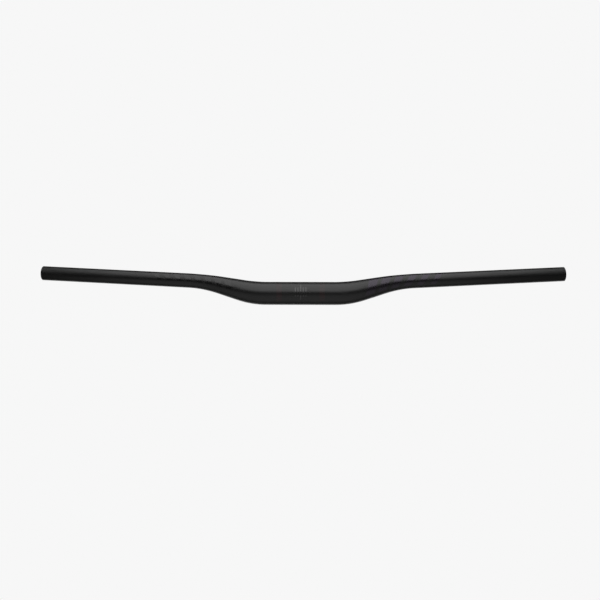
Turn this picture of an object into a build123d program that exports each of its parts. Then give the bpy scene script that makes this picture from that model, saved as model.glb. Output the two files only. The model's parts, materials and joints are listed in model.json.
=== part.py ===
from build123d import *
import os
from math import acos, atan, cos, radians, sin, tan

# A riser handlebar: one hollow tube, moulded in one piece. The thick middle is held by the stem. On each
# side an inner bend turns the tube up and back along a short ramp, an outer bend levels it off, and the
# tube narrows through both bends to the straight grip. Lengths are millimetres and angles are degrees.
# X runs across the bar, Y points back towards the rider, Z is up. The origin is the middle of the clamp.

# Outside of the tube
CLAMP_DIAMETER = 35.0
GRIP_DIAMETER = 22.2
BAR_WIDTH = 820.0  # between the middles of the two end faces

# Bends, on the axis of the tube
CLAMP_STRAIGHT = 103.0  # between the two inner bends
INNER_BEND_RADIUS = 140.0
RAMP_STRAIGHT = 33.0  # between an inner and an outer bend
OUTER_BEND_RADIUS = 300.0
RISE = 20.0  # from the clamp's axis up to where the axes of ramp and grip meet
BACKSWEEP = 8.0  # of ramp and grip, seen from above
UPSWEEP = 4.0  # of the grip, seen from the front

# Taper, wall and ends
TAPER_MARGIN = 7.5  # at each end of a double bend, the length that keeps an even diameter
CLAMP_WALL = 3.0
GRIP_WALL = 2.2
EDGE_BREAK = 0.5  # chamfer on both rims of a cut end

# Spacing of the round sections that carry the taper along a double bend
SECTION_PITCH = 10.0

back = radians(BACKSWEEP)
# Ramp and grip lie in one upright plane, turned back by the backsweep. Pitch is the slope in that plane.
grip_pitch = atan(tan(radians(UPSWEEP)) * cos(back))


def inner_tangent(ramp_pitch):
    """Length from the inner corner to each end of the inner bend."""
    turn = acos(cos(ramp_pitch) * cos(back))
    return INNER_BEND_RADIUS * tan(turn / 2)


def outer_tangent(ramp_pitch):
    """Length from the outer corner to each end of the outer bend."""
    return OUTER_BEND_RADIUS * tan((ramp_pitch - grip_pitch) / 2)


def ramp_length(ramp_pitch):
    """Length of the ramp's axis, from the inner corner to the outer one."""
    return inner_tangent(ramp_pitch) + RAMP_STRAIGHT + outer_tangent(ramp_pitch)


def find_ramp_pitch():
    """Pitch at which the ramp climbs the rise, found by halving the interval that holds it."""
    low = 0.0
    high = radians(80)
    for _ in range(60):
        middle = (low + high) / 2
        if ramp_length(middle) * sin(middle) < RISE:
            low = middle
        else:
            high = middle
    return middle


def direction(pitch):
    """Unit vector along a tube that is swept back and slopes up by this pitch."""
    return Vector(cos(pitch) * cos(back), cos(pitch) * sin(back), sin(pitch))


# The axis of the right half, from the middle of the clamp to the middle of the end face
ramp_pitch = find_ramp_pitch()
inner_corner = Vector(CLAMP_STRAIGHT / 2 + inner_tangent(ramp_pitch), 0, 0)
outer_corner = inner_corner + direction(ramp_pitch) * ramp_length(ramp_pitch)
grip_reach = (BAR_WIDTH / 2 - outer_corner.X) / direction(grip_pitch).X
tip = outer_corner + direction(grip_pitch) * grip_reach
axis_line = FilletPolyline(
    Vector(0, 0, 0), inner_corner, outer_corner, tip, radius=[INNER_BEND_RADIUS, OUTER_BEND_RADIUS]
)
clamp_run, inner_arc, ramp_run, outer_arc, grip_run = axis_line.edges().sort_by(Axis.X)
bend_line = Wire([inner_arc, ramp_run, outer_arc])
bend_start = clamp_run.length
bend_end = bend_start + bend_line.length


def blend(distance, at_clamp, at_grip):
    """Value at a distance along the axis: even at both ends of the double bend, an S-curve between."""
    taper_start = bend_start + TAPER_MARGIN
    taper_length = bend_end - bend_start - 2 * TAPER_MARGIN
    share = min(max((distance - taper_start) / taper_length, 0), 1)
    return at_clamp + (at_grip - at_clamp) * share**2 * (3 - 2 * share)


def section_plane(distance):
    """Plane across the tube at a distance along the axis, with its X to the underside."""
    along = axis_line.tangent_at(distance, position_mode=PositionMode.LENGTH)
    place = axis_line.position_at(distance, position_mode=PositionMode.LENGTH)
    return Plane(origin=place, x_dir=Vector(0, 1, 0).cross(along), z_dir=along)


def tapered_bend(clamp_diameter, grip_diameter):
    """Solid double bend: round sections that narrow, swept along the axis of the bend."""
    steps = round(bend_line.length / SECTION_PITCH)
    sections = []
    for step in range(steps + 1):
        distance = bend_start + bend_line.length * step / steps
        diameter = blend(distance, clamp_diameter, grip_diameter)
        sections.append(section_plane(distance) * Circle(diameter / 2))
    return sweep(sections, path=bend_line, multisection=True)


def round_bar(clamp_diameter, grip_diameter, overrun):
    """Solid bar along the whole axis, which runs past each end face by the overrun."""
    clamp = Plane.YZ * Cylinder(clamp_diameter / 2, CLAMP_STRAIGHT)
    outwards = (Align.CENTER, Align.CENTER, Align.MIN)
    grip = section_plane(bend_end) * Cylinder(grip_diameter / 2, grip_run.length + overrun, align=outwards)
    right = tapered_bend(clamp_diameter, grip_diameter) + grip
    return clamp + right + mirror(right, about=Plane.YZ)


def make_handlebar():
    """The bar less its bore, with the rims of both cut ends broken."""
    outside = round_bar(CLAMP_DIAMETER, GRIP_DIAMETER, 0)
    bore = round_bar(CLAMP_DIAMETER - 2 * CLAMP_WALL, GRIP_DIAMETER - 2 * GRIP_WALL, GRIP_WALL)
    tube = outside - bore
    end_faces = tube.faces().sort_by(Axis.X)
    rims = end_faces[0].edges() + end_faces[-1].edges()
    return chamfer(rims, EDGE_BREAK)


os.makedirs("parts", exist_ok=True)
export_step(make_handlebar(), "parts/handlebar.step")
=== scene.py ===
# %% [markdown]
# # A riser handlebar in a small studio
# A riser bar is one hollow tube of carbon laminate, moulded in a single piece: a thick middle that the stem
# clamps, two double bends that lift it and sweep it back, and two thin straight ends for the grips. The
# measured solid is already in the frame. This lesson works the same tube out again as a fine, even mesh,
# gives it a satin finish that follows the bends, and lights it as a product photograph is lit.

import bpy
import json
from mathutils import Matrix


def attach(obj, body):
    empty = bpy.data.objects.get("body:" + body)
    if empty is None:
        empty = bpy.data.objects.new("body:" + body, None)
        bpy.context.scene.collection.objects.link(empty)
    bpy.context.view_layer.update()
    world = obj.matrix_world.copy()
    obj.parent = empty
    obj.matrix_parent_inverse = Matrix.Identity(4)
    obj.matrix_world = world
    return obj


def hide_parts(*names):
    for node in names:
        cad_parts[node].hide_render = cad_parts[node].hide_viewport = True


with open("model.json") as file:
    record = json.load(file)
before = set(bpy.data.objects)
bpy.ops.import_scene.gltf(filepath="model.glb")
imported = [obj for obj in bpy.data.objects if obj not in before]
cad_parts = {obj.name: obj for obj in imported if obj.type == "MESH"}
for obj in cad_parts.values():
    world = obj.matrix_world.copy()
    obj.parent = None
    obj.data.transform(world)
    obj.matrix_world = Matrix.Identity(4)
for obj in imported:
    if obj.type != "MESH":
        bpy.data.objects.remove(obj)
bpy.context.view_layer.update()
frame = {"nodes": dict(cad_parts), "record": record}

# %% [markdown]
# ## Sizes
# The record that comes with the solid lists where other things take hold of the bar: the stem's clamp, the
# grips, the open ends. Those places fix most of the tube, so they are read and not typed again. What is
# left are the sizes that the mould maker sets: how far the ramps climb, the radii of the two bends, where
# the taper starts and stops, and the wall at the clamp. Everything is in metres.

# %% Read the sizes in the record, and name the rest
import bpy
import json
import numpy as np
from mathutils import Matrix, Vector
from mathutils.bvhtree import BVHTree

MILLIMETRE = 0.001
RISE = 0.020
INNER_BEND_RADIUS = 0.140
OUTER_BEND_RADIUS = 0.300
TAPER_MARGIN = 0.0075
CLAMP_WALL = 0.003
EDGE_BREAK = 0.0005

mounts = {mount["name"]: mount for mount in frame["record"]["mounts"]}
clamp_radius = mounts["stem_clamp"]["dims"]["r_mm"] * MILLIMETRE
grip_radius = mounts["grip_right"]["dims"]["r_mm"] * MILLIMETRE
bore_radius = mounts["end_bore_right"]["dims"]["r_mm"] * MILLIMETRE
grip_length = mounts["grip_right"]["dims"]["length_mm"] * MILLIMETRE
grip_middle = np.array(mounts["grip_right"]["pos_m"])
grip_heading = np.array(mounts["grip_right"]["axis"])
print("radii at clamp, grip and bore:", clamp_radius, grip_radius, bore_radius)

# %% [markdown]
# ## The centre line
# A tube is bent along its centre line, so that line comes first. It could be a Bezier curve drawn by eye,
# but then no bend would have a true radius. Here each side is five runs end to end, as on a bending
# machine: straight, arc, straight, arc, straight. Only the two corners are needed, because an arc that
# rounds a corner is fixed by its radius.

# %% Find the two corners of the right-hand side
clamp_heading = np.array([1.0, 0.0, 0.0])
tip = grip_middle + grip_heading * (grip_length / 2 + EDGE_BREAK)
outer_corner = grip_middle + grip_heading * (RISE - grip_middle[2]) / grip_heading[2]
# Ramp and grip lie in one upright plane, so seen from above the grip's line goes through the inner corner.
inner_corner = clamp_heading * (outer_corner[0] - outer_corner[1] * grip_heading[0] / grip_heading[1])
ramp_heading = (outer_corner - inner_corner) / np.linalg.norm(outer_corner - inner_corner)
print("corners:", np.round(inner_corner, 4), np.round(outer_corner, 4), "tip:", np.round(tip, 4))


# %% Lay straight runs and arcs end to end
def arc_at(corner, heading, next_heading, radius):
    """Arc that rounds a corner: start point, heading, direction of its centre, radius and length.

    The turn is the angle between the two headings, the arc starts radius x tan(turn / 2) before the corner,
    and it is radius x turn long.
    """
    turn = np.arccos(heading @ next_heading)
    inwards = next_heading - heading * np.cos(turn)
    start = corner - heading * radius * np.tan(turn / 2)
    return start, heading, inwards / np.linalg.norm(inwards), radius, radius * turn


def straight_between(start, end):
    """Straight run from one point to another, in the same five values as an arc, with no radius."""
    length = np.linalg.norm(end - start)
    return start, (end - start) / length, np.zeros(3), np.inf, length


def arc_end(arc):
    """Point where an arc ends: radius x sin(turn) ahead and radius x (1 - cos(turn)) to the inside."""
    start, heading, inwards, radius, length = arc
    turn = length / radius
    return start + radius * (heading * np.sin(turn) + inwards * (1 - np.cos(turn)))


inner_arc = arc_at(inner_corner, clamp_heading, ramp_heading, INNER_BEND_RADIUS)
outer_arc = arc_at(outer_corner, ramp_heading, grip_heading, OUTER_BEND_RADIUS)
runs = [
    straight_between(np.zeros(3), inner_arc[0]),
    inner_arc,
    straight_between(arc_end(inner_arc), outer_arc[0]),
    outer_arc,
    straight_between(arc_end(outer_arc), tip),
]
run_ends = np.cumsum([run[-1] for run in runs])
bend_start, bend_end, half_length = run_ends[0], run_ends[3], run_ends[4]
print("bend from", round(bend_start, 4), "to", round(bend_end, 4), "half length", round(half_length, 4))


# %% Follow the line to any distance
ROUNDING = 1e-9


def follow(distance):
    """Points and headings of the centre line at signed distances from the bar's middle.

    On a straight run a point moves on by heading x distance. On an arc it moves radius x sin(turn) ahead and
    radius x (1 - cos(turn)) to the inside, where turn = distance / radius. The left side is the right side
    with X turned round.
    """
    side = np.where(distance < 0, -1.0, 1.0)
    away = np.abs(distance)
    points = np.zeros((len(away), 3))
    headings = np.zeros((len(away), 3))
    for (start, heading, inwards, radius, length), run_end in zip(runs, run_ends):
        on_run = away >= run_end - length - ROUNDING
        ahead = (away[on_run] - (run_end - length))[:, None]
        turn = ahead / radius
        if np.isinf(radius):
            points[on_run] = start + heading * ahead
        else:
            points[on_run] = start + radius * (heading * np.sin(turn) + inwards * (1 - np.cos(turn)))
        headings[on_run] = heading * np.cos(turn) + inwards * np.sin(turn)
    points[:, 0] *= side
    headings[:, 1:] *= side[:, None]
    return points, headings


print("line ends at", np.round(follow(np.array([half_length]))[0][0], 4))

# %% [markdown]
# ## The wall of the tube
# The tube narrows through each double bend, from the clamp's diameter to the grip's, and so does the bore
# inside it. Both follow one S-curve, which starts and stops level so that no ring shows where the taper
# begins. The section of the wall, seen along the bar, is then a closed outline: out along the skin, round
# the cut end, back along the bore, and round the other end. Carrying that one outline round the axis gives
# the whole surface at once, with no seam to sew and no poles.


# %% Radius of skin and bore along the bar
def tapered(distance, at_clamp, at_grip):
    """Value along the bar: level at both ends, and the S-curve t t (3 - 2 t) through the double bend."""
    taper_length = bend_end - bend_start - 2 * TAPER_MARGIN
    share = np.clip((np.abs(distance) - bend_start - TAPER_MARGIN) / taper_length, 0, 1)
    return at_clamp + (at_grip - at_clamp) * share * share * (3 - 2 * share)


def skin_radius(distance):
    """Outside radius of the tube."""
    return tapered(distance, clamp_radius, grip_radius)


def wall_radius(distance):
    """Inside radius of the tube."""
    return tapered(distance, clamp_radius - CLAMP_WALL, bore_radius)


print("skin radius in mid bend:", np.round(skin_radius(np.array([(bend_start + bend_end) / 2])), 5))


# %% Space the rings of the wall
# Longest step from ring to ring at the clamp, in the bends and on the grip
SKIN_PITCHES = (0.006, 0.0015, 0.008)
BORE_PITCHES = (0.012, 0.004, 0.016)
rim_start = half_length - EDGE_BREAK


def spaced(start, stop, pitch):
    """Even steps from start to stop, each no longer than the pitch."""
    return np.linspace(start, stop, int(np.ceil(abs(stop - start) / pitch)) + 1)


def along_wall(clamp_pitch, bend_pitch, grip_pitch):
    """Distances along one side of the bar, close together where it bends and just before the rim."""
    return np.concatenate([
        spaced(0, bend_start, clamp_pitch)[:-1],
        spaced(bend_start, bend_end, bend_pitch)[:-1],
        spaced(bend_end, rim_start - EDGE_BREAK, grip_pitch),
        [rim_start],
    ])


skin_distance = along_wall(*SKIN_PITCHES)
bore_distance = along_wall(*BORE_PITCHES)[::-1]
print("rings on one side:", len(skin_distance), "of skin,", len(bore_distance), "of bore")

# %% Outline of the wall, from the middle of the skin round the end to the middle of the bore
FACE_PITCH = 0.0002
RIM_STEPS = 6


def half_outline():
    """Distance and radius of every ring on the right-hand side.

    The skin runs out, a quarter circle of the edge break turns its rim, the cut face runs inwards, a second
    quarter circle turns the inner rim, and the bore runs back.
    """
    turn = np.linspace(0, np.pi / 2, RIM_STEPS + 1)[1:-1]
    face = spaced(grip_radius - EDGE_BREAK, bore_radius + EDGE_BREAK, FACE_PITCH)
    distance = np.concatenate([
        skin_distance,
        rim_start + EDGE_BREAK * np.sin(turn),
        np.full(len(face), half_length),
        rim_start + EDGE_BREAK * np.cos(turn),
        bore_distance,
    ])
    radius = np.concatenate([
        skin_radius(skin_distance),
        grip_radius - EDGE_BREAK * (1 - np.cos(turn)),
        face,
        bore_radius + EDGE_BREAK * (1 - np.sin(turn)),
        wall_radius(bore_distance),
    ])
    return distance, radius


right_distance, right_radius = half_outline()
ring_distance = np.concatenate([right_distance, -right_distance[-2:0:-1]])
ring_radius = np.concatenate([right_radius, right_radius[-2:0:-1]])
print(len(ring_distance), "rings in the closed outline")

# %% Carry the outline round the axis
STEPS_ROUND = 128


def swept_tube(distance, radius, steps):
    """Grid of points, and the same points on the tube before it was bent.

    At each distance the section has a front direction and an up direction, both square to the heading. A
    point is centre + radius x (front x cos(angle) + up x sin(angle)). Unbent, it is (distance,
    -radius x cos(angle), radius x sin(angle)).
    """
    centre, heading = follow(distance)
    up = np.cross(heading, [0.0, 1.0, 0.0])
    up /= np.linalg.norm(up, axis=1, keepdims=True)
    front = np.cross(heading, up)
    angle = np.linspace(0, 2 * np.pi, steps, endpoint=False)
    cosine = radius[:, None] * np.cos(angle)
    sine = radius[:, None] * np.sin(angle)
    bent = centre[:, None] + cosine[..., None] * front[:, None] + sine[..., None] * up[:, None]
    along = np.broadcast_to(distance[:, None], cosine.shape)
    unbent = np.stack([along, -cosine, sine], axis=-1)
    return bent, unbent


bent_points, unbent_points = swept_tube(ring_distance, ring_radius, STEPS_ROUND)
print("tube grid:", bent_points.shape)


# %% Turn a grid of points into a mesh
def grid_object(name, points, closed_along, closed_round):
    """Object whose quads join each point of a grid to its neighbours, closed either way if asked."""
    rows, columns = points.shape[:2]
    row = np.arange(rows if closed_along else rows - 1)[:, None]
    column = np.arange(columns if closed_round else columns - 1)[None, :]
    next_row = (row + 1) % rows
    next_column = (column + 1) % columns
    corners = np.stack([
        row * columns + column,
        next_row * columns + column,
        next_row * columns + next_column,
        row * columns + next_column,
    ], axis=-1).reshape(-1, 4)
    mesh = bpy.data.meshes.new(name)
    mesh.from_pydata(points.reshape(-1, 3), [], corners)
    mesh.polygons.foreach_set("use_smooth", np.ones(len(corners), dtype=bool))
    made = bpy.data.objects.new(name, mesh)
    bpy.context.scene.collection.objects.link(made)
    return made


bar = grid_object("moulded_bar", bent_points, closed_along=True, closed_round=True)
print("moulded bar:", len(bar.data.vertices), "points,", len(bar.data.polygons), "quads")

# %% Compare the new skin with the measured solid
RING_SKIP, POINT_SKIP = 4, 8

solid = frame["nodes"]["handlebar"]
solid_tree = BVHTree.FromPolygons(
    [vertex.co for vertex in solid.data.vertices],
    [tuple(face.vertices) for face in solid.data.polygons],
)
checked = bent_points[::RING_SKIP, ::POINT_SKIP].reshape(-1, 3)
off = np.array([solid_tree.find_nearest(Vector(point))[3] for point in checked])
print("worst distance from the solid:", round(off.max() / MILLIMETRE, 3), "mm")

# %% [markdown]
# ## A place on the unbent tube
# Fibres and printed marks were laid while the tube was still a straight sleeve, so they follow every bend.
# Object coordinates would cut straight through the bends, and a UV map would break along its seam. Instead
# each point of the mesh carries its place on the straight tube as an attribute. The shader can then draw on
# a plain straight cylinder, and the mesh bends the drawing.

# %% Store the unbent place, and sort the quads into skin, cut end and bore
unbent = bar.data.attributes.new("unbent", "FLOAT_VECTOR", "POINT")
unbent.data.foreach_set("vector", unbent_points.reshape(-1).astype(np.float32))

SKIN, CUT, BORE = 0, 1, 2
middle_distance = (ring_distance + np.roll(ring_distance, -1)) / 2
middle_radius = (ring_radius + np.roll(ring_radius, -1)) / 2
half_wall = (skin_radius(middle_distance) + wall_radius(middle_distance)) / 2
zone = np.where(middle_radius > half_wall, SKIN, BORE)
zone[np.abs(middle_distance) > rim_start] = CUT
bar.data.polygons.foreach_set("material_index", np.repeat(zone, STEPS_ROUND).astype(np.int32))
print("rings of skin, cut end and bore:", [int((zone == kind).sum()) for kind in (SKIN, CUT, BORE)])

# %% [markdown]
# ## A flat map of the wall
# The shaders here need no map, but a program that takes the finish as a painted picture does: there every
# quad needs a place of its own on a flat square. Blender can cut a mesh up by itself, but it would cut this
# one along the front, through the marks. So the wall is unrolled like a label. The skin is slit along the
# back and laid down in three lengths, side by side, so that it gets most of the square. The bore is a narrow
# strip beside it, and the two cut ends are strips below, tall enough for their plies. The map has a fixed
# name.

# %% Find the patch of the map that each ring lies on
# Left edge, lower edge, width and height of a patch, as shares of the square
SKIN_PATCHES = [(0.010, 0.10, 0.275, 0.89), (0.305, 0.10, 0.275, 0.89), (0.600, 0.10, 0.275, 0.89)]
BORE_PATCH = (0.895, 0.10, 0.095, 0.89)
CUT_PATCHES = [(0.010, 0.01, 0.480, 0.07), (0.510, 0.01, 0.480, 0.07)]
patches = np.array([*SKIN_PATCHES, BORE_PATCH, *CUT_PATCHES])


def rings_on_patches():
    """Number of each ring's patch, and the shares of the patch's height where the ring starts and stops.

    A share along the bar is (1 + distance / half length) / 2. Times the number of lengths, its whole part
    counts the lengths of skin and the rest is the share of one. Along the bore the rings run the other way,
    so the sign of the distance is turned. The rings of a cut end have equal shares.
    """
    lengths = len(SKIN_PATCHES)
    edges = np.stack([ring_distance, np.roll(ring_distance, -1)])
    number = np.floor((1 + middle_distance / half_length) / 2 * lengths).astype(int)
    shares = (1 + edges / half_length) / 2 * lengths - number
    number[zone == BORE] = lengths
    shares[:, zone == BORE] = (1 - edges[:, zone == BORE] / half_length) / 2
    for end, on_end in enumerate((middle_distance < 0, middle_distance > 0)):
        rings = np.flatnonzero((zone == CUT) & on_end)
        order = np.arange(len(rings))
        number[rings] = lengths + 1 + end
        shares[:, rings] = np.stack([order, order + 1]) / len(rings)
    return number, shares


patch_number, ring_shares = rings_on_patches()
print("rings on each patch:", np.bincount(patch_number))

# %% Lay every quad on its patch
EXPORT_MAP = "OFBake"


def unrolled():
    """Places of the four corners of every quad on the map.

    Round the bar the share falls from 1 to 0, counted from the back, so that the picture isn't mirrored. A
    place is the patch's left edge + width x that share, and its lower edge + height x the share along it.
    """
    left, low, width, height = patches[patch_number].T[:, :, None]
    from_back = (np.arange(STEPS_ROUND) + STEPS_ROUND // 2) % STEPS_ROUND
    near = left + width * (1 - from_back / STEPS_ROUND)
    far = near - width / STEPS_ROUND
    start, stop = np.broadcast_to(low + height * ring_shares[:, :, None], (2, *near.shape))
    return np.stack([near, start, near, stop, far, stop, far, start], axis=-1)


flat_map = bar.data.uv_layers.new(name=EXPORT_MAP)
flat_map.uv.foreach_set("vector", unrolled().reshape(-1).astype(np.float32))
patch_areas = patches[:, 2] * patches[:, 3]
print("share of the square in use:", round(float(patch_areas.sum()), 2))

# %% [markdown]
# ## Small tools for shaders
# A finish is a tree of nodes, and most of it is arithmetic on the unbent place. A few short helpers keep
# that readable: they fill a socket, make a node, do a sum, measure a distance, make noise with lumps of a
# given size, stretch that noise over a range, mix two colours, and start a new finish.


# %% Helpers that make nodes and sums
def feed(tree, value, socket):
    """Joins another node's output to a socket, or sets a plain value on it."""
    if isinstance(value, bpy.types.NodeSocket):
        tree.links.new(value, socket)
    else:
        socket.default_value = value


def node(tree, kind, inputs, **settings):
    """New node of a kind, with its settings made and its inputs fed by name or number."""
    made = tree.nodes.new("ShaderNode" + kind)
    for name, value in settings.items():
        setattr(made, name, value)
    for name, value in inputs.items():
        feed(tree, value, made.inputs[name])
    return made


def maths(tree, operation, first, second=0.0, third=0.0):
    """Result of one sum, such as MULTIPLY or LESS_THAN."""
    return node(tree, "Math", {0: first, 1: second, 2: third}, operation=operation).outputs[0]


def distance_across(tree, place, counted):
    """Length of a place once each of its three parts has been multiplied by 1, to count, or by 0."""
    across = node(tree, "VectorMath", {0: place, 1: counted}, operation="MULTIPLY").outputs[0]
    return node(tree, "VectorMath", {0: across}, operation="LENGTH").outputs["Value"]


sums = bpy.types.ShaderNodeMath.bl_rna.properties["operation"].enum_items
print("kinds of sum to choose from:", len(sums))

# %% Helpers for noise, colours and new finishes
# Detail of the noise: octaves of ever finer lumps on top of the first
SMOOTH, CRISP = 2.0, 4.0
# Nearly all of the noise lies between these values
NOISE_LOW, NOISE_HIGH = 0.3, 0.7
# Sockets of a Mix node that mixes colours
MIX_SHARE, MIX_FIRST, MIX_SECOND, MIX_RESULT = 0, 6, 7, 2


def speckle(tree, place, per_metre, detail):
    """Noise from 0 to 1 with this many lumps to the metre along, across and up."""
    scaled = node(tree, "Mapping", {"Vector": place, "Scale": per_metre}).outputs[0]
    return node(tree, "TexNoise", {"Vector": scaled, "Scale": 1.0, "Detail": detail}).outputs["Fac"]


def spread(tree, noise, low, high):
    """Stretches the range of the noise over a new one."""
    inputs = {"Value": noise, "From Min": NOISE_LOW, "From Max": NOISE_HIGH, "To Min": low, "To Max": high}
    return node(tree, "MapRange", inputs).outputs[0]


def blended(tree, share, first, second):
    """Colour that goes from the first to the second as the share goes from 0 to 1."""
    inputs = {MIX_SHARE: share, MIX_FIRST: first, MIX_SECOND: second}
    return node(tree, "Mix", inputs, data_type="RGBA").outputs[MIX_RESULT]


def new_finish(name):
    """New material, its tree, its glossy shader, and the unbent place as a socket."""
    made = bpy.data.materials.new(name)
    made.use_nodes = True
    place = node(made.node_tree, "Attribute", {}, attribute_name="unbent").outputs["Vector"]
    return made, made.node_tree, made.node_tree.nodes["Principled BSDF"], place


print("noise runs from about", NOISE_LOW, "to", NOISE_HIGH)

# %% [markdown]
# ## Marks under the lacquer
# Bars of this kind carry tone-on-tone marks on both bends, and fine scales at the clamp that help to set the
# bar level and in the middle of its stem. They could be separate decals, but these lie under the lacquer and
# have no thickness, so they are drawn by the shader. The unbent place turns into a distance along the bar
# and an angle round it, with 0 at the front. A leaning bar is then a strip of distance that shifts with the
# angle.


# %% A row of leaning bars
def within(tree, value, low, high):
    """1 where low < value < high, else 0."""
    above = maths(tree, "GREATER_THAN", value, low)
    return maths(tree, "MULTIPLY", above, maths(tree, "LESS_THAN", value, high))


def leaning_bars(tree, along, angle, bars):
    """1 on a row of bars, else 0.

    Position in the row = (along - lean x angle - start) / pitch. Its whole part counts the bars and its
    fraction is the place in one pitch, so a bar covers the fractions below its width. The width shrinks by
    the same step from bar to bar, and the row ends at a low and a high angle.
    """
    leant = maths(tree, "SUBTRACT", along, maths(tree, "MULTIPLY", angle, bars["lean"]))
    position = maths(tree, "DIVIDE", maths(tree, "SUBTRACT", leant, bars["start"]), bars["pitch"])
    number = maths(tree, "FLOOR", position)
    width = maths(tree, "MULTIPLY_ADD", number, -bars["thinner"], bars["width"])
    on_bar = maths(tree, "LESS_THAN", maths(tree, "FRACT", position), width)
    in_row = within(tree, position, 0.0, bars["count"])
    in_height = within(tree, angle, bars["low"], bars["high"])
    return maths(tree, "MULTIPLY", maths(tree, "MULTIPLY", on_bar, in_row), in_height)


# Start and pitch are metres along the bar, width and thinner are shares of a pitch, lean is metres a radian
GLOSS_BARS = {
    "start": 0.104, "pitch": 0.0165, "count": 8, "width": 0.66, "thinner": 0.04, "lean": 0.008,
    "low": np.radians(-18), "high": np.radians(50),
}
SMOKE_BARS = {
    "start": 0.100, "pitch": 0.0210, "count": 6, "width": 0.70, "thinner": 0.06, "lean": 0.008,
    "low": np.radians(-44), "high": np.radians(62),
}
print("bars on the bends:", GLOSS_BARS["count"], "in gloss,", SMOKE_BARS["count"], "in smoke")


# %% Scales at the clamp
def scale_lines(tree, value, scale):
    """Number of the nearest line of a scale, counted from its middle, and 1 on that line, else 0.

    Away from the middle by |value|, the number is |value| / pitch, rounded. The value is on that line where
    |value| is within half a width of number x pitch, and the number isn't past the scale's last line.
    """
    away = maths(tree, "ABSOLUTE", value)
    number = maths(tree, "ROUND", maths(tree, "DIVIDE", away, scale["pitch"]))
    beside = maths(tree, "SUBTRACT", away, maths(tree, "MULTIPLY", number, scale["pitch"]))
    on_line = maths(tree, "LESS_THAN", maths(tree, "ABSOLUTE", beside), scale["width"] / 2)
    in_scale = maths(tree, "LESS_THAN", number, scale["each_way"] + 1)
    return number, maths(tree, "MULTIPLY", on_line, in_scale)


def tick_ladder(tree, along, angle, ticks):
    """1 on short ticks, one above another at even angles, on both sides of the bar's middle, else 0."""
    _, on_tick = scale_lines(tree, angle, ticks)
    on_side = within(tree, maths(tree, "ABSOLUTE", along), ticks["start"], ticks["end"])
    return maths(tree, "MULTIPLY", on_tick, on_side)


def centre_scale(tree, along, angle, lines):
    """1 on upright lines at an even pitch, else 0: a tall one in the middle and short ones beside it."""
    number, on_line = scale_lines(tree, along, lines)
    is_short = maths(tree, "MINIMUM", number, 1.0)
    reach = maths(tree, "MULTIPLY_ADD", is_short, lines["short"] - lines["tall"], lines["tall"])
    in_reach = maths(tree, "LESS_THAN", maths(tree, "ABSOLUTE", angle), reach)
    return maths(tree, "MULTIPLY", on_line, in_reach)


LEVEL_TICKS = {
    "pitch": np.radians(6), "width": np.radians(1.32), "each_way": 8, "start": 0.0285, "end": 0.0365,
}
CENTRE_LINES = {
    "pitch": 0.004, "width": 0.0016, "each_way": 2, "tall": np.radians(40), "short": np.radians(24),
}
print("ticks in a ladder:", 2 * LEVEL_TICKS["each_way"] + 1)
print("lines in the centre scale:", 2 * CENTRE_LINES["each_way"] + 1)

# %% [markdown]
# ## Satin skin
# The skin is black fibre under a thin satin lacquer. What the eye sees is not the black but the lacquer: a
# soft, wide highlight, a little broken by the fibres below, by the faint ripple that spraying leaves and by
# the fine grain that makes it satin. A photograph of a real bar could be wrapped round the tube, but it
# would carry its own light. So the colour is very dark with streaks along the tube, the roughness drifts by
# a few hundredths, and a bump of some microns does the rest. The marks are printed in an ink with metal
# flakes: it mirrors a little more light than the lacquer does, the centre scale most of all, and at a
# sharper angle, so the marks show as a change of gloss more than of colour. Only the level ticks are plain
# rust-coloured ink.

# %% Colours, gloss and grain of the skin
BLACK_LOW, BLACK_HIGH = (0.007, 0.007, 0.007, 1), (0.014, 0.014, 0.014, 1)
GLOSS_INK, SMOKE_INK = (0.044, 0.044, 0.044, 1), (0.0510, 0.0455, 0.0560, 1)
SCALE_INK, RUST_INK = (0.072, 0.072, 0.072, 1), (0.060, 0.016, 0.018, 1)
INK_METAL = 0.75
SATIN_LOW, SATIN_HIGH = 0.325, 0.375
# How much less rough than the lacquer the inks are
BAR_GLOSS, SMOKE_GLOSS = 0.13, 0.09
# Lumps to the metre: along the bar, across it and up
FIBRE_LUMPS = (24.0, 1500.0, 1500.0)
DRIFT_LUMPS = (28.0, 60.0, 60.0)
RIPPLE_LUMPS = (420.0, 420.0, 420.0)
GRAIN_LUMPS = (2600.0, 2600.0, 2600.0)
FIBRE_HEIGHT, GRAIN_HEIGHT = 0.35, 0.50
SKIN_RELIEF = 0.00002
print("satin roughness from", SATIN_LOW, "to", SATIN_HIGH)


# %% The satin lacquer over fibre
def skin_colour(tree, fibres, marks):
    """Streaked black, then each kind of mark laid over it in its ink."""
    colour = blended(tree, spread(tree, fibres, 0.0, 1.0), BLACK_LOW, BLACK_HIGH)
    for mark, ink in marks:
        colour = blended(tree, mark, colour, ink)
    return colour


def relief(tree, height, depth):
    """Normal of a surface that stands up by depth x height."""
    return node(tree, "Bump", {"Height": height, "Strength": 1.0, "Distance": depth}).outputs[0]


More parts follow.
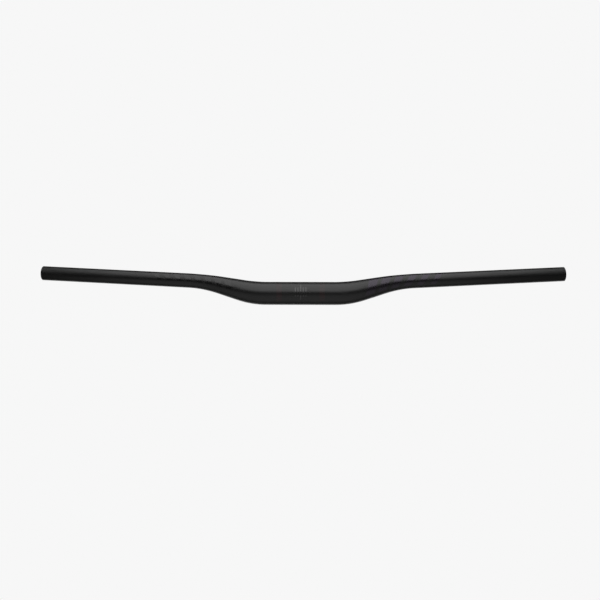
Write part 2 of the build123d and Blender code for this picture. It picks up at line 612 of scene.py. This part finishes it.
def satin_skin():
    """Material of the outside of the bar, with the marks below the lacquer."""
    made, tree, shader, place = new_finish("satin_skin")
    axes = node(tree, "SeparateXYZ", {0: place}).outputs
    along = axes["X"]
    angle = maths(tree, "ARCTAN2", axes["Z"], maths(tree, "MULTIPLY", axes["Y"], -1.0))
    gloss_bars = leaning_bars(tree, maths(tree, "MULTIPLY", along, -1.0), angle, GLOSS_BARS)
    smoke_bars = leaning_bars(tree, along, angle, SMOKE_BARS)
    ticks = tick_ladder(tree, along, angle, LEVEL_TICKS)
    lines = centre_scale(tree, along, angle, CENTRE_LINES)
    neutral = maths(tree, "MAXIMUM", gloss_bars, lines)
    inked = maths(tree, "MAXIMUM", neutral, smoke_bars)

    marks = [(ticks, RUST_INK), (lines, SCALE_INK), (gloss_bars, GLOSS_INK), (smoke_bars, SMOKE_INK)]
    fibres = speckle(tree, place, FIBRE_LUMPS, CRISP)
    feed(tree, skin_colour(tree, fibres, marks), shader.inputs["Base Color"])
    feed(tree, maths(tree, "MULTIPLY", inked, INK_METAL), shader.inputs["Metallic"])

    rough = spread(tree, speckle(tree, place, DRIFT_LUMPS, SMOOTH), SATIN_LOW, SATIN_HIGH)
    rough = maths(tree, "MULTIPLY_ADD", neutral, -BAR_GLOSS, rough)
    rough = maths(tree, "MULTIPLY_ADD", smoke_bars, -SMOKE_GLOSS, rough)
    feed(tree, rough, shader.inputs["Roughness"])

    height = speckle(tree, place, RIPPLE_LUMPS, SMOOTH)
    height = maths(tree, "MULTIPLY_ADD", fibres, FIBRE_HEIGHT, height)
    height = maths(tree, "MULTIPLY_ADD", speckle(tree, place, GRAIN_LUMPS, SMOOTH), GRAIN_HEIGHT, height)
    feed(tree, relief(tree, height, SKIN_RELIEF), shader.inputs["Normal"])
    return made


bar.data.materials.append(satin_skin())
print("skin:", bar.data.materials[SKIN].name)

# %% [markdown]
# ## Cut ends and bore
# Each end is sawn square and its rims are broken with abrasive paper, so the plies show as fine rings, dark
# grey and dulled by dust. Inside, the wall was pressed outwards by an inflated bag, which leaves long
# shallow wrinkles in resin that nobody sands. Rings and wrinkles are far too fine to model, so both are
# drawn on the unbent tube again: rings are a wave in the radius, and wrinkles are noise drawn out along
# the bar.

# %% The sawn plies
PLY_THICKNESS = 0.00024
PLY_DARK, PLY_LIGHT = (0.030, 0.030, 0.031, 1), (0.150, 0.148, 0.145, 1)
WANDER_LUMPS = (200.0, 260.0, 260.0)
DUST_LUMPS = (2500.0, 2500.0, 2500.0)
SAW_LUMPS = (300.0, 300.0, 3800.0)
# Most that the noise shifts a ring, in radians of its wave
WANDER_TURN = 3.0
# Share of a ring's paleness that dust leaves
DUSTY, CLEAN = 0.2, 1.0
SAWN_LOW, SAWN_HIGH = 0.55, 0.75
SAW_RELIEF = 0.000015


def sawn_plies():
    """Material of the cut faces and rims: rings, dust and fine saw marks.

    The rings are 0.5 + 0.5 x sin(2 pi x radius / ply thickness), and noise makes them wander.
    """
    made, tree, shader, place = new_finish("sawn_plies")
    radius = distance_across(tree, place, (0.0, 1.0, 1.0))
    wander = maths(tree, "MULTIPLY", speckle(tree, place, WANDER_LUMPS, SMOOTH), WANDER_TURN)
    turns = maths(tree, "MULTIPLY_ADD", radius, 2 * np.pi / PLY_THICKNESS, wander)
    rings = maths(tree, "MULTIPLY_ADD", maths(tree, "SINE", turns), 0.5, 0.5)
    dust = speckle(tree, place, DUST_LUMPS, CRISP)
    share = maths(tree, "MULTIPLY", rings, spread(tree, dust, DUSTY, CLEAN))
    feed(tree, blended(tree, share, PLY_DARK, PLY_LIGHT), shader.inputs["Base Color"])
    feed(tree, spread(tree, dust, SAWN_LOW, SAWN_HIGH), shader.inputs["Roughness"])
    feed(tree, relief(tree, speckle(tree, place, SAW_LUMPS, SMOOTH), SAW_RELIEF), shader.inputs["Normal"])
    return made


bar.data.materials.append(sawn_plies())
print("cut ends:", bar.data.materials[CUT].name)

# %% The wrinkled resin of the bore
RESIN_DARK, RESIN_LIGHT = (0.006, 0.006, 0.006, 1), (0.026, 0.025, 0.024, 1)
RESIN_SMOOTH, RESIN_ROUGH = 0.38, 0.60
WRINKLE_LUMPS = (18.0, 420.0, 420.0)
WRINKLE_RELIEF = 0.00024


def bag_moulded_bore():
    """Material of the inside wall: dark resin with wrinkles drawn out along the bar."""
    made, tree, shader, place = new_finish("bag_moulded_bore")
    wrinkles = speckle(tree, place, WRINKLE_LUMPS, CRISP)
    feed(tree, blended(tree, wrinkles, RESIN_DARK, RESIN_LIGHT), shader.inputs["Base Color"])
    feed(tree, spread(tree, wrinkles, RESIN_SMOOTH, RESIN_ROUGH), shader.inputs["Roughness"])
    feed(tree, relief(tree, wrinkles, WRINKLE_RELIEF), shader.inputs["Normal"])
    return made


bar.data.materials.append(bag_moulded_bore())
print("bore:", bar.data.materials[BORE].name)

# %% [markdown]
# ## The camera
# The photograph looks at the bar from the front, a little from below and almost square on. Distance and
# turn were found by matching the bar's outline, so they are real sizes and angles. The bar is not quite in
# the middle of the picture: the camera steps aside by that much and keeps looking straight ahead, because a
# lens shift would follow it into every other view.

# %% Place the camera
PICTURE_SIDE = 600
CLAMP_PIXEL = (300.4, 292.9)
PIXELS_PER_METRE = 655.9
CAMERA_DISTANCE = 1.568
CAMERA_ELEVATION = np.radians(-7.71)
CAMERA_TURN = np.radians(-1.566)
CAMERA_ROLL = np.radians(-0.352)
SENSOR_WIDTH = 36.0


def turned(vector, angle):
    """Vector turned about the upright axis."""
    x, y, z = vector
    return np.array([x * np.cos(angle) - y * np.sin(angle), x * np.sin(angle) + y * np.cos(angle), z])


sine, cosine = np.sin(CAMERA_ELEVATION), np.cos(CAMERA_ELEVATION)
ahead = turned((0.0, cosine, -sine), -CAMERA_TURN)
level_right = turned((1.0, 0.0, 0.0), -CAMERA_TURN)
level_up = turned((0.0, sine, cosine), -CAMERA_TURN)
right = level_right * np.cos(CAMERA_ROLL) - level_up * np.sin(CAMERA_ROLL)
up = level_right * np.sin(CAMERA_ROLL) + level_up * np.cos(CAMERA_ROLL)
picture_middle = (PICTURE_SIDE - 1) / 2
aside = (CLAMP_PIXEL[0] - picture_middle) / PIXELS_PER_METRE
below = (CLAMP_PIXEL[1] - picture_middle) / PIXELS_PER_METRE
stand = -ahead * CAMERA_DISTANCE - right * aside + up * below

lens = bpy.data.cameras.new("camera")
lens.sensor_width = SENSOR_WIDTH
lens.lens = PIXELS_PER_METRE * CAMERA_DISTANCE / PICTURE_SIDE * SENSOR_WIDTH
camera = bpy.data.objects.new("camera", lens)
placing = np.eye(4)
placing[:3] = np.column_stack([right, up, -ahead, stand])
camera.matrix_world = Matrix(placing.tolist())
bpy.context.scene.collection.objects.link(camera)
bpy.context.scene.camera = camera
print("camera at", np.round(stand, 3), "lens", round(lens.lens, 2), "mm")

# %% [markdown]
# ## Floor and room
# The bar floats against a pale sheet, with nothing else in view. A room that is pale all round would wash
# out the satin, because a black tube shows only what it mirrors. So the room is dim, and one pale sheet
# hangs behind the bar, turns a little way round both of its sides, and lies on the floor from about a metre
# behind it. Mirrored rays find that sheet and little else. The floor is grey paper, so the lamps can't turn
# it white. Camera rays see floor and room in the sheet's pale tone from every side, and the floor still
# takes the bar's shadow.

# %% Smooth steps, and what each kind of ray sees
MIRRORED_RAYS = ("Is Glossy Ray", "Is Transmission Ray")


def ramp(tree, value, start, stop, low, high):
    """Value that goes smoothly from low to high as another goes from start to stop."""
    inputs = {"Value": value, "From Min": start, "From Max": stop, "To Min": low, "To Max": high}
    return node(tree, "MapRange", inputs, interpolation_type="SMOOTHSTEP").outputs[0]


def shown_pale(tree, on_sheet):
    """1 for camera rays, and for mirrored rays as far as they meet the sheet, else 0."""
    path = node(tree, "LightPath", {}).outputs
    mirrored = maths(tree, "MAXIMUM", *[path[kind] for kind in MIRRORED_RAYS])
    return maths(tree, "MAXIMUM", path["Is Camera Ray"], maths(tree, "MULTIPLY", mirrored, on_sheet))


print("mirrored rays:", MIRRORED_RAYS)

# %% Floor paper that looks pale and thins out
# Metres from the middle where the floor starts to thin out and is gone
FLOOR_SOLID, FLOOR_REACH = 1.4, 2.5
FLOOR_GREY = (0.25, 0.25, 0.25, 1)
FLOOR_ROUGHNESS, FLOOR_SHINE = 0.9, 0.1
GLOW_COLOUR = (1, 1, 1, 1)
FLOOR_GLOW = 0.82
# Metres behind the bar where the sheet starts on the floor and is whole
SHEET_FRONT, SHEET_FULL = 1.0, 1.6


def floor_paper():
    """Material of the floor: solid below the bar, and thinner with the distance from it."""
    made = bpy.data.materials.new("floor_paper")
    made.use_nodes = True
    tree = made.node_tree
    shader = tree.nodes["Principled BSDF"]
    shader.inputs["Base Color"].default_value = FLOOR_GREY
    shader.inputs["Roughness"].default_value = FLOOR_ROUGHNESS
    shader.inputs["Specular IOR Level"].default_value = FLOOR_SHINE
    shader.inputs["Emission Color"].default_value = GLOW_COLOUR
    place = node(tree, "TexCoord", {}).outputs["Object"]
    reach = distance_across(tree, place, (1.0, 1.0, 0.0))
    feed(tree, ramp(tree, reach, FLOOR_SOLID, FLOOR_REACH, 1.0, 0.0), shader.inputs["Alpha"])
    backwards = node(tree, "SeparateXYZ", {0: place}).outputs["Y"]
    pale = shown_pale(tree, ramp(tree, backwards, SHEET_FRONT, SHEET_FULL, 0.0, 1.0))
    feed(tree, maths(tree, "MULTIPLY", pale, FLOOR_GLOW), shader.inputs["Emission Strength"])
    return made


print("floor is solid to", FLOOR_SOLID, "m and gone at", FLOOR_REACH, "m")

# %% Lay the floor
FLOOR_DROP = 0.90
FLOOR_STEPS = 9


def flat_sheet(half_side, height, steps):
    """Grid of a level square: X and Y run from -half side to +half side, and Z stays at one height."""
    line = np.linspace(-half_side, half_side, steps)
    x, y = np.meshgrid(line, line, indexing="ij")
    return np.stack([x, y, np.full_like(x, height)], axis=-1)


floor_points = flat_sheet(FLOOR_REACH, -FLOOR_DROP, FLOOR_STEPS)
floor = grid_object("floor", floor_points, closed_along=False, closed_round=False)
floor.data.materials.append(floor_paper())
print("floor", FLOOR_DROP, "m below the bar")

# %% The dim room and the pale sheet behind the bar
DIM_ROOM = (0.004, 0.004, 0.004, 1)
SHEET_TONE = (0.930, 0.930, 0.930, 1)
# Parts of a unit direction where the sheet starts and is whole: backwards, to a side, and off the level
BEHIND_START, BEHIND_WHOLE = 0.25, 0.50
BESIDE_START, BESIDE_WHOLE = 0.85, 1.00
LEVEL_WHOLE, LEVEL_END = 0.40, 0.60
BESIDE_SHARE = 0.5


def dim_studio():
    """World that is dim, with the sheet behind, half of its tone at both sides, and none above or below."""
    made = bpy.data.worlds.new("studio")
    made.use_nodes = True
    tree = made.node_tree
    way = node(tree, "SeparateXYZ", {0: node(tree, "TexCoord", {}).outputs["Generated"]}).outputs
    sideways = maths(tree, "ABSOLUTE", way["X"])
    off_level = maths(tree, "ABSOLUTE", way["Z"])
    behind = ramp(tree, way["Y"], BEHIND_START, BEHIND_WHOLE, 0.0, 1.0)
    beside = ramp(tree, sideways, BESIDE_START, BESIDE_WHOLE, 0.0, BESIDE_SHARE)
    level = ramp(tree, off_level, LEVEL_WHOLE, LEVEL_END, 1.0, 0.0)
    pale = shown_pale(tree, maths(tree, "MULTIPLY", maths(tree, "MAXIMUM", behind, beside), level))
    feed(tree, blended(tree, pale, DIM_ROOM, SHEET_TONE), tree.nodes["Background"].inputs["Color"])
    return made


bpy.context.scene.world = dim_studio()
print("room", DIM_ROOM[0], "sheet", SHEET_TONE[0])

# %% [markdown]
# ## Lamps
# One large softbox, about twice as long as the bar, hangs above and in front of it and draws the wide
# highlight on its upper half. A weak panel lies close to the bar, below and in front, and lifts the lower
# half. Neither reaches the ends, which are sawn square and face away to the sides, so two more panels stand
# behind at the sides. Their beams are narrow, to light the sawn ends and the mouths of the bore but not the
# floor. They are hidden from mirrored rays, because they would draw stripes of their own on the satin.


# %% A lamp that faces the bar
def panel(name, height_angle, turn, distance, length, depth, radiance, sideways=0.0, beam=180):
    """Rectangular lamp that faces the bar.

    It stands away from the bar in the direction that a turn from the front and an angle above the horizon
    give, then steps sideways along X. Such a lamp shines with power / (4 x area), so its power is
    4 x length x depth x radiance, and a beam of under 180 degrees gathers that power in a narrower fan.
    """
    lamp = bpy.data.lights.new(name, "AREA")
    lamp.shape = "RECTANGLE"
    lamp.size = length
    lamp.size_y = depth
    lamp.energy = 4 * length * depth * radiance
    lamp.spread = np.radians(beam)
    height, round_bar = np.radians(height_angle), np.radians(turn)
    level = np.cos(height)
    away = Vector((level * np.sin(round_bar), -level * np.cos(round_bar), np.sin(height)))
    made = bpy.data.objects.new(name, lamp)
    made.visible_camera = False
    facing = away.to_track_quat("Z", "Y").to_matrix().to_4x4()
    made.matrix_world = Matrix.Translation(away * distance + Vector((sideways, 0, 0))) @ facing
    bpy.context.scene.collection.objects.link(made)
    return made


softbox = panel("softbox", height_angle=55, turn=0, distance=1.20, length=1.69, depth=2.40, radiance=1.35)
print("softbox:", round(softbox.data.energy, 1), "watts")

# %% The fill below and the panels for the ends
# Degrees from the front to a panel behind the bar
END_TURN = 128

panel(
    "fill_panel", height_angle=-61, turn=0, distance=0.36, length=0.99, depth=0.58, radiance=0.23,
    sideways=-0.04,
)
for name, turn in (("left_end_panel", -END_TURN), ("right_end_panel", END_TURN)):
    end_panel = panel(
        name, height_angle=8, turn=turn, distance=1.40, length=1.20, depth=1.20, radiance=0.60, beam=70
    )
    end_panel.visible_glossy = False
bpy.context.scene.view_settings.view_transform = "Standard"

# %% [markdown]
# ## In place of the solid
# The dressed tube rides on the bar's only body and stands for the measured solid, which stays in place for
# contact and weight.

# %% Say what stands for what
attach(bar, "root")
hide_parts("handlebar")
